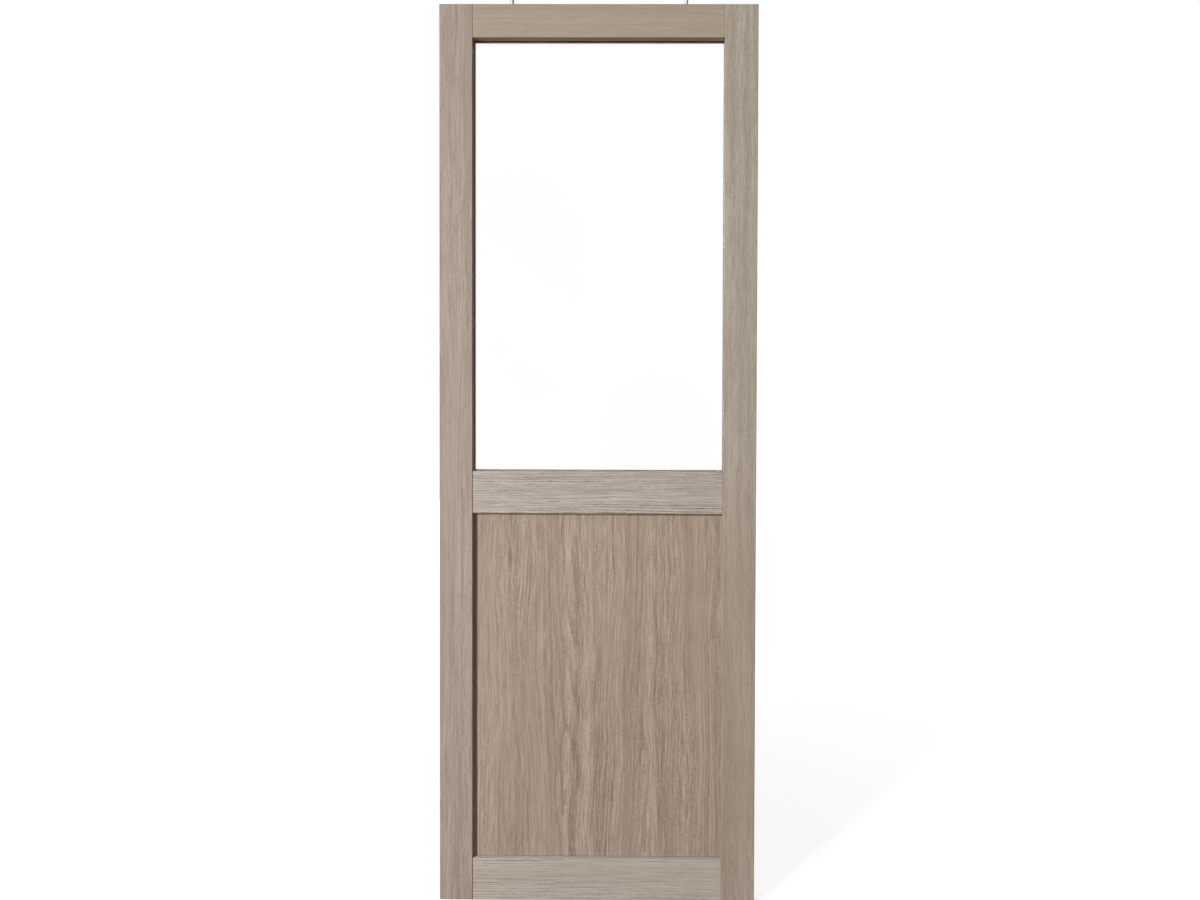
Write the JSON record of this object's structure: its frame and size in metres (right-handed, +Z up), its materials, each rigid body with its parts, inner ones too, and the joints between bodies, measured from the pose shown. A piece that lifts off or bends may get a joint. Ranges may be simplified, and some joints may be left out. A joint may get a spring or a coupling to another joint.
{
  "type": "glazed sliding door",
  "caption": "Framed oak sliding door leaf with a glass pane above and a flush wood panel below, hung on wheeled trolleys in a ceiling track and steadied by a floor guide.",
  "frame": {"origin": "on the floor at the centre of the floor guide, in the middle of the leaf's thickness, below the middle of the track", "axes": "+X along the track, the way the leaf slides open; front face to -Y; +Z up"},
  "size_m": [1.4, 0.04, 2.1112],
  "materials": {
    "oak_frame": "unfinished planed oak with straight fine grain",
    "oak_panel": "unfinished crown-cut oak veneer",
    "oak_bead": "unfinished planed oak",
    "beech": "smooth dowel rod, glued in",
    "glass": "clear toughened float glass",
    "glazing_tape": "matt brown foam tape and rubber",
    "zinc_steel": "bright zinc-plated steel",
    "aluminium": "satin anodised extrusion",
    "black_nylon": "moulded glass-filled nylon",
    "white_nylon": "moulded natural nylon",
    "buffer_rubber": "moulded black rubber"
  },
  "bodies": {
    "track_body": {"track": "aluminium", "left_stop": "zinc_steel", "right_stop": "zinc_steel", "stop_buffers": "buffer_rubber", "stop_screws": "zinc_steel", "floor_guide": "black_nylon"},
    "leaf_body": {"left_stile": "oak_frame", "right_stile": "oak_frame", "top_rail": "oak_frame", "mid_rail": "oak_frame", "bottom_rail": "oak_frame", "lower_panel": "oak_panel", "glass_pane": "glass", "front_glazing_tape": "glazing_tape", "back_glazing_tape": "glazing_tape", "setting_blocks": "glazing_tape", "top_bead": "oak_bead", "bottom_bead": "oak_bead", "left_bead": "oak_bead", "right_bead": "oak_bead", "rail_dowels": "beech", "left_hanger_plate": "zinc_steel", "right_hanger_plate": "zinc_steel", "hanger_screws": "zinc_steel", "left_hanger_bolt": "zinc_steel", "right_hanger_bolt": "zinc_steel", "hanger_lock_nuts": "zinc_steel", "left_trolley": "black_nylon", "right_trolley": "black_nylon", "trolley_axles": "zinc_steel"},
    "left_outer_wheel_body": {"left_outer_wheels": "white_nylon"},
    "left_inner_wheel_body": {"left_inner_wheels": "white_nylon"},
    "right_inner_wheel_body": {"right_inner_wheels": "white_nylon"},
    "right_outer_wheel_body": {"right_outer_wheels": "white_nylon"}
  },
  "joints": [
    {"name": "leaf_slide", "type": "slide", "parent": "track_body", "child": "leaf_body", "axis": [1, 0, 0], "range_m": [0, 0.64]},
    {"name": "left_outer_spin", "type": "hinge", "parent": "leaf_body", "child": "left_outer_wheel_body", "pos_m": [-0.548, 0, 2.0912], "axis": [0, 1, 0], "continuous": true},
    {"name": "left_inner_spin", "type": "hinge", "parent": "leaf_body", "child": "left_inner_wheel_body", "pos_m": [-0.488, 0, 2.0912], "axis": [0, 1, 0], "continuous": true},
    {"name": "right_inner_spin", "type": "hinge", "parent": "leaf_body", "child": "right_inner_wheel_body", "pos_m": [-0.152, 0, 2.0912], "axis": [0, 1, 0], "continuous": true},
    {"name": "right_outer_spin", "type": "hinge", "parent": "leaf_body", "child": "right_outer_wheel_body", "pos_m": [-0.092, 0, 2.0912], "axis": [0, 1, 0], "continuous": true}
  ],
  "couplings": [
    {"joint": "left_outer_spin", "follows": "leaf_slide", "rad_per_m": 90.909},
    {"joint": "left_inner_spin", "follows": "leaf_slide", "rad_per_m": 90.909},
    {"joint": "right_inner_spin", "follows": "leaf_slide", "rad_per_m": 90.909},
    {"joint": "right_outer_spin", "follows": "leaf_slide", "rad_per_m": 90.909}
  ]
}
